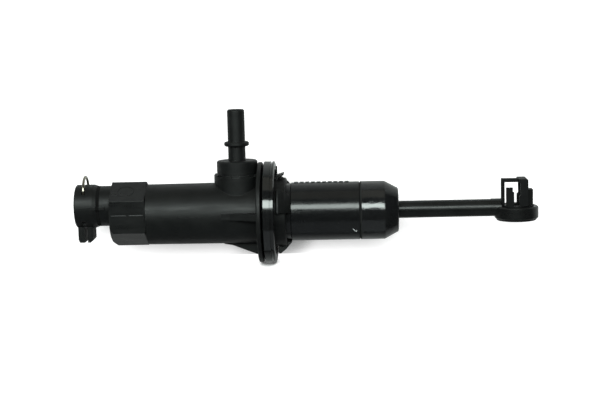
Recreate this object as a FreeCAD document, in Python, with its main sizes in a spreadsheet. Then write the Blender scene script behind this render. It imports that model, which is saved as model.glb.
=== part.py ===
import FreeCAD, Part
import os
import re

import Sketcher

# Clutch master cylinder, lying along X: outlet at the low end, push rod at the high end,
# reservoir spigot up. The origin is on the bore's axis, in the bulkhead face of the seal.

os.makedirs("parts", exist_ok=True)
doc = FreeCAD.newDocument("ClutchMasterCylinder")
sizes = doc.addObject("Spreadsheet::Sheet", "sizes")

# Driving dimensions in millimetres and degrees. Every other size and place follows from these.
DIMENSIONS = {
    # Plunger, its travel and its web
    "plunger_radius": 9.525,
    "running_gap": 0.05,
    "stroke": 30.0,
    "nose_clearance": 2.5,
    "nose_reach": 3.5,
    "plunger_wall": 1.9,
    "plunger_tail_depth": 6.0,
    "web_front_x": 9.5,
    "web_thickness": 5.5,
    "vent_setback": 9.7,
    "vent_radius": 0.7,
    "vent_count": 6,
    # Front housing: steps and walls outwards from the plunger
    "chamber_gap": 0.775,
    "seal_section": 2.625,
    "body_radius": 14.15,
    "body_draft": 0.15,
    "socket_step": 1.35,
    "sleeve_wall": 2.4,
    "sleeve_end_x": 5.0,
    "flange_radius": 23.3,
    "flange_thickness": 2.0,
    "socket_floor_depth": 3.0,
    # Hexagon
    "hex_wall": 2.6,
    "hex_height": 0.5,
    "hex_length": 16.3,
    "hex_chamfer": 0.9,
    "hex_bevel_rise": 1.0,
    "chamber_end_wall": 6.0,
    # Outlet
    "outlet_height": 4.4,
    "pipe_radius": 5.5,
    "plug_step": 1.9,
    "mouth_lead_step": 0.4,
    "mouth_lead_margin": 0.3,
    "mouth_length": 7.4,
    "collar_wall": 2.3,
    "collar_length": 8.5,
    "collar_taper": 2.0,
    "neck_wall": 2.05,
    "neck_length": 8.3,
    "pipe_land": 2.9,
    "outlet_passage_radius": 1.6,
    "outlet_groove_setback": 2.2,
    "outlet_ring_section": 1.8,
    "outlet_backup_width": 1.2,
    "neck_rib_margin": 2.6,
    "neck_rib_height": 1.5,
    "neck_rib_proud": 0.9,
    # Locking clip and its tabs
    "clip_setback": 4.3,
    "clip_wire_radius": 0.6,
    "clip_leg_inset": 3.1,
    "clip_arch_drop": 3.4,
    "clip_leg_drop": 6.0,
    "clip_slot_gap": 0.3,
    "tab_setback": 0.65,
    "tab_length": 7.05,
    "tab_half_width": 4.0,
    "tab_drop": 16.6,
    "tab_corner": 1.4,
    "tab_gap": 1.4,
    "tab_gap_rise": 1.2,
    "tab_rib_width": 1.3,
    "tab_rib_proud": 0.4,
    # Reservoir inlet
    "inlet_shift": 0.25,
    "cup_radius": 10.8,
    "cup_wall": 3.25,
    "cup_rim_width": 1.4,
    "cup_notch_count": 7,
    "cup_notch_first_angle": 45.0,
    "cup_notch_width": 3.6,
    "cup_notch_depth": 0.9,
    "port_radius": 2.0,
    "fitting_cap_height": 6.2,
    "fitting_cap_chamfer": 0.5,
    "spigot_radius": 4.0,
    "spigot_wall": 1.3,
    "spigot_reach": 15.9,
    "bead_proud": 1.75,
    "bead_width": 2.0,
    "bead_height": 7.7,
    "inlet_ring_section": 1.5,
    "inlet_groove_setback": 1.5,
    "inlet_groove_depth": 1.3,
    "inlet_land": 1.05,
    # Gussets
    "gusset_length": 16.4,
    "gusset_thickness": 3.0,
    "gusset_margin": 3.0,
    # Bulkhead seal
    "seal_thickness": 6.0,
    "seal_proud": 0.2,
    "seal_gap_width": 0.8,
    "seal_gap_depth": 3.7,
    "seal_groove_x": -1.9,
    "seal_groove_width": 0.8,
    "seal_groove_depth": 0.9,
    "seal_face_bevel": 0.9,
    "seal_land_width": 2.8,
    "seal_land_height": 0.8,
    # Bayonet lugs and latch tongue
    "lug_count": 3,
    "lug_first_angle": 22.5,
    "lug_sweep": 34.0,
    "lug_height": 3.5,
    "lug_front_x": 0.6,
    "lug_crest_length": 1.2,
    "lug_overhang": 2.0,
    "lug_tail_height": 0.4,
    "lug_bulge": 0.5,
    "lug_lift": 0.4,
    "tongue_start_x": 0.4,
    "tongue_length": 3.5,
    "tongue_thickness": 0.8,
    "tongue_width": 8.0,
    "tongue_gap": 0.4,
    "tongue_rise": 1.1,
    # Rear housing
    "barrel_end_x": 38.7,
    "barrel_neck_depth": 0.4,
    "barrel_gap": 0.875,
    "nose_length": 6.0,
    "bush_wall": 1.175,
    "bush_length": 9.5,
    "barrel_ring_setback": 1.8,
    "barrel_ring_groove_width": 2.0,
    "barrel_ring_section": 1.46,
    "cap_joint_step": 1.45,
    "cap_spigot_length": 5.5,
    "snap_setback": 2.3,
    "snap_width": 1.4,
    "snap_height": 0.35,
    # End cap
    "cap_seam": 0.3,
    "cap_seam_depth": 0.5,
    "cap_seam_reach": 0.8,
    "cap_swell": 0.06,
    "cap_skirt_length": 11.2,
    "cap_bevel_length": 5.5,
    "cap_bevel_depth": 2.95,
    "cap_face_height": 0.9,
    "cap_bore_step": 0.8,
    "cap_hole_gap": 3.8,
    "washer_thickness": 1.5,
    "rest_gap": 0.3,
    # Cup seals
    "seal_width": 4.5,
    "lip_depth": 2.8,
    "lip_thickness": 0.8,
    "spacer_width": 4.5,
    "spacer_groove_depth": 0.9,
    "spacer_hole_radius": 0.8,
    "spacer_hole_count": 6,
    # Piston guide ring
    "guide_ring_margin": 1.5,
    "guide_ring_width": 4.0,
    "guide_ring_depth": 0.525,
    # Return spring and its seat
    "spring_gap": 0.425,
    "spring_wire_radius": 0.8,
    "spring_turns": 9.5,
    "seat_gap": 0.5,
    "seat_thickness": 1.5,
    "seat_stem_gap": 0.4,
    "seat_stem_length": 8.0,
    "seat_bore_radius": 2.6,
    "seat_notch_count": 4,
    "seat_notch_width": 2.4,
    # Ball joint
    "ball_radius": 5.0,
    "ball_gap": 0.1,
    "pad_floor": 2.0,
    "pad_setback": 0.6,
    "retainer_throat_gap": 0.9,
    "retainer_rib_setback": 2.6,
    "retainer_rib_width": 1.2,
    "retainer_rib_height": 0.35,
    # Push rod and its eye
    "rod_radius": 4.0,
    "rod_neck_radius": 3.0,
    "rod_neck_length": 9.0,
    "rod_shoulder_length": 3.0,
    "rod_length": 89.0,
    "eye_radius": 10.05,
    "eye_wall": 2.05,
    "eye_bottom_z": -5.0,
    "eye_top_z": 0.6,
    "eye_chamfer": 0.5,
    # Pedal pin clip
    "pin_radius": 4.0,
    "pin_way_gap": 0.5,
    "pin_way_lead": 0.2,
    "pin_clip_lip": 0.8,
    "pin_clip_lip_reach": 1.2,
    "pin_clip_collar": 0.6,
    "cage_height": 12.9,
    "cage_bar_thickness": 1.7,
    "cage_inset": 1.4,
    "cage_post_thickness": 1.0,
    "cage_post_depth": 4.0,
    "cage_web_x": 1.3,
    "cage_web_width": 3.6,
    "cage_web_depth": 11.5,
    "cage_web_foot": 0.6,
    "finger_gap": 0.4,
    "finger_width": 3.0,
    "finger_height": 9.1,
    "finger_step_width": 0.6,
    "finger_step_height": 7.0,
    "finger_thickness": 1.6,
    "hook_inset": 0.7,
    "hook_height": 7.8,
    "hook_depth": 6.0,
}

# Sizes and places that follow from the driving dimensions or from each other
DERIVED = {
    # Radii, outwards from the plunger
    "plunger_fit": "plunger_radius + running_gap",
    "plunger_bore": "plunger_radius - plunger_wall",
    "chamber_radius": "plunger_radius + chamber_gap",
    "seal_bore_radius": "plunger_radius + seal_section",
    "socket_radius": "seal_bore_radius + socket_step",
    "sleeve_radius": "socket_radius + sleeve_wall",
    "gusset_reach": "flange_radius - gusset_margin",
    "seal_radius": "flange_radius + seal_proud",
    "seal_face_radius": "seal_radius - seal_face_bevel",
    "seal_seat_radius": "seal_radius - seal_gap_depth",
    "seal_land_radius": "seal_face_radius - seal_land_width",
    "lug_radius": "sleeve_radius + lug_height",
    "tongue_base_z": "sleeve_radius + tongue_gap",
    "tongue_tip_z": "tongue_base_z + tongue_rise",
    "hex_half": "chamber_radius + hex_wall",
    "hex_corner": "hex_half / cos(30)",
    "barrel_radius": "socket_radius - running_gap",
    "barrel_neck_radius": "barrel_radius - barrel_neck_depth",
    "barrel_bore_radius": "plunger_radius + barrel_gap",
    "bush_radius": "plunger_radius + bush_wall",
    "cap_seam_radius": "barrel_radius - cap_seam_depth",
    "cap_joint_radius": "barrel_radius - cap_joint_step",
    "cap_skirt_radius": "cap_joint_radius + running_gap",
    "cap_bore_radius": "cap_joint_radius - cap_bore_step",
    "cap_face_radius": "barrel_radius - cap_bevel_depth",
    "cap_hole_radius": "rod_radius + cap_hole_gap",
    "guide_ring_seat_radius": "plunger_radius - guide_ring_depth",
    "spring_radius": "plunger_bore - spring_gap - spring_wire_radius",
    "seat_radius": "chamber_radius - seat_gap",
    "seat_stem_radius": "spring_radius - spring_wire_radius - seat_stem_gap",
    # Places along the bore, back from the bulkhead face of the seal
    "flange_back_x": "-seal_thickness",
    "flange_front_x": "flange_back_x - flange_thickness",
    "gusset_start_x": "flange_front_x - gusset_length",
    "seal_front_x": "flange_back_x + seal_gap_width",
    "socket_floor_x": "flange_front_x + socket_floor_depth",
    "nose_x": "socket_floor_x - nose_length",
    "primary_back_x": "seal_stop_x + seal_width",
    "spacer_back_x": "nose_x - seal_width",
    "seal_stop_x": "nose_x - 2 * seal_width - spacer_width",
    "inlet_x": "spacer_back_x - spacer_width / 2 + inlet_shift",
    "plunger_nose_x": "seal_stop_x - nose_reach",
    "vent_x": "plunger_nose_x + vent_setback",
    "seat_face_x": "plunger_nose_x - stroke - nose_clearance - seat_stem_length",
    "chamber_end_x": "seat_face_x - seat_thickness",
    "hex_start_x": "chamber_end_x - chamber_end_wall",
    "hex_end_x": "hex_start_x + hex_length",
    "collar_end_x": "hex_start_x - neck_length",
    "outlet_face_x": "collar_end_x - collar_length",
    # Places along the bore, on towards the push rod
    "lug_crest_x": "lug_front_x + lug_crest_length",
    "lug_tail_x": "sleeve_end_x + lug_overhang",
    "tongue_end_x": "tongue_start_x + tongue_length",
    "bush_end_x": "nose_x + bush_length",
    "barrel_ring_x": "socket_floor_x + barrel_ring_setback",
    "guide_ring_x": "bush_end_x + stroke + guide_ring_margin",
    "snap_x": "barrel_end_x + snap_setback",
    "cap_spigot_end_x": "barrel_end_x + cap_spigot_length",
    "cap_front_x": "barrel_end_x + cap_seam",
    "cap_bevel_x": "cap_front_x + cap_skirt_length",
    "cap_bevel_end_x": "cap_bevel_x + cap_bevel_length",
    "cap_face_x": "cap_bevel_end_x + cap_face_height",
    "plunger_tail_x": "cap_face_x - plunger_tail_depth",
    "washer_front_x": "plunger_tail_x + rest_gap",
    "washer_back_x": "washer_front_x + washer_thickness",
    "web_back_x": "web_front_x + web_thickness",
    # Outlet, its clip and its tabs
    "mouth_radius": "pipe_radius + plug_step",
    "mouth_lead_radius": "mouth_radius + mouth_lead_step",
    "collar_radius": "mouth_lead_radius + collar_wall",
    "outlet_groove_radius": "pipe_radius + outlet_ring_section",
    "neck_radius": "outlet_groove_radius + neck_wall",
    "clip_x": "outlet_face_x + clip_setback",
    "clip_leg_y": "collar_radius - clip_leg_inset",
    "clip_arch_z": "outlet_height + collar_radius - clip_arch_drop",
    "clip_end_z": "outlet_height - clip_leg_drop",
    "slot_half": "clip_wire_radius + clip_slot_gap",
    "mouth_lead_end_x": "clip_x - slot_half - mouth_lead_margin",
    "mouth_end_x": "outlet_face_x + mouth_length",
    "outlet_groove_x": "mouth_end_x + outlet_groove_setback",
    "outlet_groove_end_x": "outlet_groove_x + outlet_ring_section + outlet_backup_width + 2 * running_gap",
    "pipe_end_x": "outlet_groove_end_x + pipe_land",
    "tab_front_x": "outlet_face_x + tab_setback",
    "tab_back_x": "tab_front_x + tab_length",
    "tab_bottom_z": "outlet_height - tab_drop",
    # Reservoir inlet
    "cup_bore_radius": "cup_radius - cup_wall",
    "fitting_cap_radius": "cup_radius - cup_rim_width",
    "inlet_groove_radius": "cup_bore_radius - inlet_groove_depth",
    "cup_floor_z": "body_radius",
    "inlet_groove_z": "cup_floor_z + inlet_groove_setback",
    "cup_rim_z": "inlet_groove_z + inlet_ring_section + inlet_land",
    "fitting_cap_top_z": "cup_rim_z + fitting_cap_height",
    "bead_z": "fitting_cap_top_z + bead_height",
    "bead_radius": "spigot_radius + bead_proud",
    "spigot_tip_z": "bead_z + spigot_reach",
    "spigot_bore_radius": "spigot_radius - spigot_wall",
    # Ball joint, rod and pin clip
    "ball_x": "web_back_x + ball_radius + pad_floor",
    "ball_seat_radius": "ball_radius + ball_gap",
    "pad_end_x": "ball_x - pad_setback",
    "retainer_end_x": "ball_x + ball_radius",
    "retainer_rib_x": "ball_x + retainer_rib_setback",
    "retainer_throat_radius": "rod_neck_radius + retainer_throat_gap",
    "rod_neck_end_x": "ball_x + rod_neck_length",
    "rod_shoulder_x": "rod_neck_end_x + rod_shoulder_length",
    "eye_x": "ball_x + rod_length",
    "eye_bore_radius": "eye_radius - eye_wall",
    "pin_clip_top_z": "eye_top_z + pin_clip_collar",
    "pin_way_z": "eye_top_z - pin_way_lead",
    "pin_clip_lip_radius": "eye_bore_radius + pin_clip_lip_reach",
    "cage_top_z": "eye_top_z + cage_height",
    "cage_bar_z": "cage_top_z - cage_bar_thickness",
    "cage_left_x": "eye_x - eye_bore_radius + cage_inset",
    "cage_web_left_x": "eye_x + cage_web_x",
    "cage_web_right_x": "cage_web_left_x + cage_web_width",
    "finger_left_x": "cage_left_x + cage_post_thickness + finger_gap",
    "finger_right_x": "finger_left_x + finger_width",
    "hook_right_x": "eye_x + eye_bore_radius - hook_inset",
}

for row, (alias, number) in enumerate(DIMENSIONS.items(), start=1):
    sizes.set(f"A{row}", alias.replace("_", " "))
    sizes.set(f"B{row}", str(number))
    sizes.setAlias(f"B{row}", alias)
doc.recompute()


def dim(text):
    """Turn the names in an expression into references to the sheet, derived ones by way of their own."""
    def reference(word):
        name = word[0]
        if name in DERIVED:
            return f"({dim(DERIVED[name])})"
        return f"sizes.{name}" if name in DIMENSIONS else name
    return re.sub(r"[a-z_]+", reference, text)


def value(text):
    """The present number of an expression in aliases."""
    return float(sizes.evalExpression(dim(text)))


def bind(thing, **properties):
    """Bind properties to expressions; a double underscore stands for a dot."""
    for name, text in properties.items():
        thing.setExpression(name.replace("__", "."), dim(text))


def new_body(label):
    body = doc.addObject("PartDesign::Body", label)
    body.Label = label
    return body


def origin_plane(body, role):
    return next(item for item in body.Origin.OriginFeatures if item.Role == role)


def new_sketch(body, name, role):
    """Empty sketch on one of the body's own planes."""
    sketch = body.newObject("Sketcher::SketchObject", name)
    sketch.AttachmentSupport = [(origin_plane(body, role), "")]
    sketch.MapMode = "FlatFace"
    return sketch


def outline(body, name, role, corners):
    """Closed sketch of straight lines, each corner held by two expressions."""
    sketch = new_sketch(body, name, role)
    places = [FreeCAD.Vector(value(across), value(up), 0) for across, up in corners]
    count = len(places)
    for index, place in enumerate(places):
        sketch.addGeometry(Part.LineSegment(place, places[(index + 1) % count]), False)
    for index, (across, up) in enumerate(corners):
        sketch.addConstraint(Sketcher.Constraint("Coincident", index, 2, (index + 1) % count, 1))
        for kind, text in (("DistanceX", across), ("DistanceY", up)):
            held = sketch.addConstraint(Sketcher.Constraint(kind, -1, 1, index, 1, value(text)))
            sketch.setExpression(f"Constraints[{held}]", dim(text))
    return sketch


def circles(body, name, role, rings):
    """Sketch of circles, each a centre and a radius as expressions."""
    sketch = new_sketch(body, name, role)
    for index, (across, up, radius) in enumerate(rings):
        centre = FreeCAD.Vector(value(across), value(up), 0)
        sketch.addGeometry(Part.Circle(centre, FreeCAD.Vector(0, 0, 1), value(radius)), False)
        for kind, text in (("DistanceX", across), ("DistanceY", up)):
            held = sketch.addConstraint(Sketcher.Constraint(kind, -1, 1, index, 3, value(text)))
            sketch.setExpression(f"Constraints[{held}]", dim(text))
        held = sketch.addConstraint(Sketcher.Constraint("Radius", index, value(radius)))
        sketch.setExpression(f"Constraints[{held}]", dim(radius))
    return sketch


def turned(body, kind, name, sketch, axis="H_Axis"):
    """Revolution or Groove of a sketch about one of its axes."""
    feature = body.newObject(f"PartDesign::{kind}", name)
    feature.Profile = sketch
    feature.ReferenceAxis = (sketch, [axis])
    feature.Angle = 360
    return feature


def turn(body, name, corners, height=None, kind="Revolution"):
    """Turn a half section, drawn as X and radius, about an axis along X."""
    sketch = outline(body, f"{name}_section", "XZ_Plane", corners)
    if height is not None:
        bind(sketch, AttachmentOffset__Base__y=height)
    return turned(body, kind, name, sketch)


def turn_upright(body, name, corners, centre, kind="Revolution"):
    """Turn a half section, drawn as radius and Z, about an upright axis at X = centre."""
    sketch = outline(body, f"{name}_section", "XZ_Plane", corners)
    bind(sketch, AttachmentOffset__Base__x=centre)
    return turned(body, kind, name, sketch, "V_Axis")


def push(body, kind, name, sketch, length=None, both_ways=False, backwards=False):
    """Pad or Pocket of a sketch; with no length it goes right through."""
    feature = body.newObject(f"PartDesign::{kind}", name)
    feature.Profile = sketch
    feature.Reversed = backwards
    if both_ways:
        feature.SideType = "Symmetric"
    if length is None:
        feature.Type = "ThroughAll"
    else:
        bind(feature, Length=length)
    return feature


def ring_of(body, name, feature, axis_sketch, axis, count):
    """Polar pattern of one feature about an axis of a sketch."""
    pattern = body.newObject("PartDesign::PolarPattern", name)
    pattern.Originals = [feature]
    pattern.Axis = (axis_sketch, [axis])
    pattern.Angle = 360
    bind(pattern, Occurrences=count)
    body.Tip = pattern
    return pattern


def box(left, right, low, high):
    """Corners of an upright rectangle."""
    return [(left, low), (right, low), (right, high), (left, high)]


def o_ring(label, middle_radius, section_radius, rotation=None, **place):
    """Torus, its axis along Z unless a rotation lays it along X."""
    ring = doc.addObject("Part::Torus", label)
    ring.Label = label
    if rotation is not None:
        ring.Placement = FreeCAD.Placement(FreeCAD.Vector(), rotation)
    bind(ring, Radius1=middle_radius, Radius2=section_radius, **place)
    return ring


ALONG_X = FreeCAD.Rotation(FreeCAD.Vector(0, 1, 0), 90)


# Front housing: cylinder, hexagon, outlet, reservoir cup, flange and bayonet collar
def make_front_housing():
    body = new_body("front_housing")
    turn(body, "Barrel", [
        ("hex_end_x - 3", "0"),
        ("hex_end_x - 3", "hex_half - 1"),
        ("hex_end_x - 0.6", "hex_half - 1"),
        ("hex_end_x + 0.3", "body_radius - body_draft"),
        ("gusset_start_x", "body_radius"),
        ("flange_front_x", "body_radius"),
        ("flange_front_x", "flange_radius - 0.4"),
        ("flange_front_x + 0.4", "flange_radius"),
        ("flange_back_x - 0.3", "flange_radius"),
        ("flange_back_x", "flange_radius - 0.3"),
        ("flange_back_x", "sleeve_radius"),
        ("sleeve_end_x - 0.5", "sleeve_radius"),
        ("sleeve_end_x", "sleeve_radius - 0.5"),
        ("sleeve_end_x", "0"),
    ])
    make_hexagon(body)
    make_outlet(body)
    make_reservoir_cup(body)
    make_gussets(body)
    make_bayonet(body)
    cut_main_bore(body)
    cut_outlet(body)
    cut_reservoir_cup(body)
    return body


def make_hexagon(body):
    """Hexagon with a corner up, bevelled more at its lower front, towards the outlet's axis."""
    flank = "hex_corner / 2"
    section = outline(body, "Hexagon_section", "YZ_Plane", [
        ("0", "hex_corner"),
        ("hex_half", flank),
        ("hex_half", f"-{flank}"),
        ("0", "-hex_corner"),
        ("-hex_half", f"-{flank}"),
        ("-hex_half", flank),
    ])
    bind(section, AttachmentOffset__Base__y="hex_height", AttachmentOffset__Base__z="hex_start_x")
    push(body, "Pad", "Hexagon", section, "hex_length")
    bevel = "hex_corner - hex_chamfer"
    turn(body, "Hexagon_front_bevel", [
        ("hex_start_x", bevel),
        ("hex_start_x + 3", f"{bevel} + 3"),
        ("hex_start_x - 1", f"{bevel} + 3"),
        ("hex_start_x - 1", bevel),
    ], height="hex_height + hex_bevel_rise", kind="Groove")
    turn(body, "Hexagon_back_bevel", [
        ("hex_end_x", "hex_corner - hex_chamfer / 2"),
        ("hex_end_x + 1", "hex_corner - hex_chamfer / 2"),
        ("hex_end_x + 1", "hex_corner + 1"),
        ("hex_end_x - hex_chamfer", "hex_corner + 1"),
    ], height="hex_height", kind="Groove")


def make_outlet(body):
    turn(body, "Outlet", [
        ("outlet_face_x", "0"),
        ("outlet_face_x", "collar_radius - 0.5"),
        ("outlet_face_x + 0.5", "collar_radius"),
        ("collar_end_x", "collar_radius"),
        ("collar_end_x + collar_taper", "neck_radius"),
        ("hex_start_x + 1", "neck_radius"),
        ("hex_start_x + 1", "0"),
    ], height="outlet_height")
    rib = outline(body, "Neck_rib_section", "XZ_Plane",
                  box("collar_end_x - 0.3", "hex_start_x - neck_rib_margin",
                      "outlet_height - neck_rib_height / 2", "outlet_height + neck_rib_height / 2"))
    push(body, "Pad", "Neck_rib", rib, "neck_radius + neck_rib_proud")
    make_tabs(body)


def make_tabs(body):
    section = outline(body, "Tab_section", "XZ_Plane", [
        ("tab_front_x", "outlet_height"),
        ("tab_front_x", "tab_bottom_z + tab_corner"),
        ("tab_front_x + tab_corner / 2", "tab_bottom_z"),
        ("tab_back_x - tab_corner", "tab_bottom_z"),
        ("tab_back_x", "tab_bottom_z + tab_corner"),
        ("tab_back_x", "outlet_height"),
    ])
    push(body, "Pad", "Tabs", section, "2 * tab_half_width", both_ways=True)
    for side, middle in (("Front", "(tab_front_x + clip_x - tab_gap / 2) / 2"),
                         ("Back", "(tab_back_x + clip_x + tab_gap / 2) / 2")):
        rib = outline(body, f"{side}_tab_rib_section", "XZ_Plane",
                      box(f"{middle} - tab_rib_width / 2", f"{middle} + tab_rib_width / 2",
                          "tab_bottom_z + tab_corner", "outlet_height - collar_radius + 1"))
        push(body, "Pad", f"{side}_tab_rib", rib, "2 * (tab_half_width + tab_rib_proud)", both_ways=True)


def make_reservoir_cup(body):
    cup = circles(body, "Cup_section", "XY_Plane", [("inlet_x", "0", "cup_radius")])
    push(body, "Pad", "Cup", cup, "cup_rim_z")


def make_gussets(body):
    """Webs below and at both sides, from the cylinder out to the flange."""
    for name, role, side in (("Lower_gusset", "XZ_Plane", "-"), ("Right_gusset", "XY_Plane", ""),
                             ("Left_gusset", "XY_Plane", "-")):
        section = outline(body, f"{name}_section", role, [
            ("gusset_start_x", f"{side}(body_radius - 0.6)"),
            ("gusset_start_x", f"{side}(body_radius + 0.2)"),
            ("gusset_start_x + 4", f"{side}(body_radius + 0.9)"),
            ("flange_front_x + flange_thickness / 2", f"{side}gusset_reach"),
            ("flange_front_x + flange_thickness / 2", f"{side}(body_radius - 0.6)"),
        ])
        push(body, "Pad", name, section, "gusset_thickness", both_ways=True)


def make_bayonet(body):
    """Ramped lugs round the sleeve, and a springy latch tongue on top of it."""
    tail_top = "socket_radius + lug_lift + lug_tail_height"
    section = outline(body, "Lug_section", "XZ_Plane", [
        ("lug_front_x + 0.4", "sleeve_radius - 0.6"),
        ("lug_front_x", "lug_radius - 0.9"),
        ("lug_front_x + 0.5", "lug_radius"),
        ("lug_crest_x", "lug_radius"),
        ("(lug_crest_x + lug_tail_x) / 2", f"(lug_radius + {tail_top}) / 2 + lug_bulge"),
        ("lug_tail_x", tail_top),
        ("lug_tail_x", "socket_radius + lug_lift"),
        ("sleeve_end_x - 1", "socket_radius + lug_lift"),
    ])
    first_turn = FreeCAD.Rotation(FreeCAD.Vector(1, 0, 0), 45)
    section.AttachmentOffset = FreeCAD.Placement(FreeCAD.Vector(), first_turn)
    bind(section, AttachmentOffset__Rotation__Angle="90 - lug_first_angle")
    lug = turned(body, "Revolution", "Lug", section)
    lug.Midplane = True
    bind(lug, Angle="lug_sweep")
    ring_of(body, "Lugs", lug, section, "H_Axis", "lug_count")
    tongue = outline(body, "Tongue_section", "XZ_Plane", [
        ("tongue_start_x", "sleeve_radius - 0.8"),
        ("tongue_start_x", "tongue_base_z + tongue_thickness"),
        ("tongue_end_x", "tongue_tip_z + tongue_thickness"),
        ("tongue_end_x", "tongue_tip_z"),
        ("tongue_start_x + tongue_thickness", "tongue_base_z"),
        ("tongue_start_x + tongue_thickness", "sleeve_radius - 0.8"),
    ])
    push(body, "Pad", "Tongue", tongue, "tongue_width", both_ways=True)


def cut_main_bore(body):
    """Chamber, seal bore and the socket for the rear housing, in one groove."""
    turn(body, "Main_bore", [
        ("chamber_end_x", "0"),
        ("chamber_end_x", "chamber_radius"),
        ("seal_stop_x", "chamber_radius"),
        ("seal_stop_x", "seal_bore_radius"),
        ("socket_floor_x", "seal_bore_radius"),
        ("socket_floor_x", "socket_radius"),
        ("lug_tail_x + 1", "socket_radius"),
        ("lug_tail_x + 1", "0"),
    ], kind="Groove")


def cut_outlet(body):
    """Stepped mouth, pipe bore with the ring groove, passage to the chamber and the clip's slots."""
    turn(body, "Outlet_bore", [
        ("outlet_face_x - 1", "0"),
        ("outlet_face_x - 1", "mouth_lead_radius"),
        ("mouth_lead_end_x", "mouth_lead_radius"),
        ("mouth_lead_end_x", "mouth_radius"),
        ("mouth_end_x", "mouth_radius"),
        ("outlet_groove_x - 1", "pipe_radius + running_gap"),
        ("outlet_groove_x", "pipe_radius + running_gap"),
        ("outlet_groove_x", "outlet_groove_radius"),
        ("outlet_groove_end_x", "outlet_groove_radius"),
        ("outlet_groove_end_x", "pipe_radius + running_gap"),
        ("pipe_end_x", "pipe_radius + running_gap"),
        ("pipe_end_x + 1", "outlet_passage_radius"),
        ("chamber_end_x + 1", "outlet_passage_radius"),
        ("chamber_end_x + 1", "0"),
    ], height="outlet_height", kind="Groove")
    for side, name in (("-", "Near"), ("", "Far")):
        slot = outline(body, f"{name}_slot_section", "YZ_Plane",
                       box(f"{side}clip_leg_y - slot_half", f"{side}clip_leg_y + slot_half",
                           "outlet_height - collar_radius - 1", "outlet_height + collar_radius + 1"))
        bind(slot, AttachmentOffset__Base__z="clip_x")
        push(body, "Pocket", f"{name}_slot", slot, "2 * slot_half", both_ways=True)
    gap = outline(body, "Tab_gap_section", "XZ_Plane",
                  box("clip_x - tab_gap / 2", "clip_x + tab_gap / 2", "tab_bottom_z - 1",
                      "outlet_height - collar_radius + tab_gap_rise"))
    push(body, "Pocket", "Tab_gap", gap, both_ways=True)


def cut_reservoir_cup(body):
    """Bore for the fitting, port to the seals and the notches in the rim."""
    turn_upright(body, "Cup_bore", [
        ("0", "seal_bore_radius - 1"),
        ("port_radius", "seal_bore_radius - 1"),
        ("port_radius", "cup_floor_z"),
        ("cup_bore_radius", "cup_floor_z"),
        ("cup_bore_radius", "cup_rim_z + 1"),
        ("0", "cup_rim_z + 1"),
    ], "inlet_x", kind="Groove")
    notch = outline(body, "Notch_section", "XY_Plane",
                    box("fitting_cap_radius + 0.2", "cup_radius + 0.3", "-cup_notch_width / 2",
                        "cup_notch_width / 2"))
    first_turn = FreeCAD.Rotation(FreeCAD.Vector(0, 0, 1), 45)
    notch.AttachmentOffset = FreeCAD.Placement(FreeCAD.Vector(), first_turn)
    bind(notch, AttachmentOffset__Base__x="inlet_x", AttachmentOffset__Base__z="cup_rim_z",
         AttachmentOffset__Rotation__Angle="cup_notch_first_angle")
    pocket = push(body, "Pocket", "Notch", notch, "cup_notch_depth")
    notches = ring_of(body, "Notches", pocket, notch, "N_Axis", "cup_notch_count")
    bind(notches, Angle="360 - 2 * cup_notch_first_angle")


# Rear housing: nose in the seal bore, shoulder in the socket, barrel and the cap's spigot
def make_rear_housing():
    body = new_body("rear_housing")
    nose = "seal_bore_radius - running_gap"
    ring_floor = "barrel_radius - barrel_ring_section"
    seam_end = "barrel_end_x + cap_seam_reach"
    snap_end = "snap_x + snap_width"
    turn(body, "Shell", [
        ("nose_x", "bush_radius + running_gap"),
        ("nose_x", f"{nose} - 0.3"),
        ("nose_x + 0.3", nose),
        ("socket_floor_x", nose),
        ("socket_floor_x", "barrel_radius"),
        ("barrel_ring_x", "barrel_radius"),
        ("barrel_ring_x", ring_floor),
        ("barrel_ring_x + barrel_ring_groove_width", ring_floor),
        ("barrel_ring_x + barrel_ring_groove_width", "barrel_radius"),
        ("sleeve_end_x", "barrel_radius"),
        ("sleeve_end_x", "barrel_neck_radius"),
        ("lug_tail_x", "barrel_neck_radius"),
        ("lug_tail_x + 0.4", "barrel_radius"),
        ("barrel_end_x - 0.2", "barrel_radius"),
        ("barrel_end_x", "barrel_radius - 0.2"),
        ("barrel_end_x", "cap_seam_radius"),
        (seam_end, "cap_seam_radius"),
        (seam_end, "cap_joint_radius"),
        ("snap_x", "cap_joint_radius"),
        ("snap_x + snap_width / 3", "cap_joint_radius + snap_height"),
        (f"{snap_end} - snap_width / 3", "cap_joint_radius + snap_height"),
        (snap_end, "cap_joint_radius"),
        ("cap_spigot_end_x - 0.4", "cap_joint_radius"),
        ("cap_spigot_end_x", "cap_joint_radius - 0.4"),
        ("cap_spigot_end_x", "barrel_bore_radius"),
        ("bush_end_x", "barrel_bore_radius"),
        ("bush_end_x", "bush_radius + running_gap"),
    ])
    return body


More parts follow.
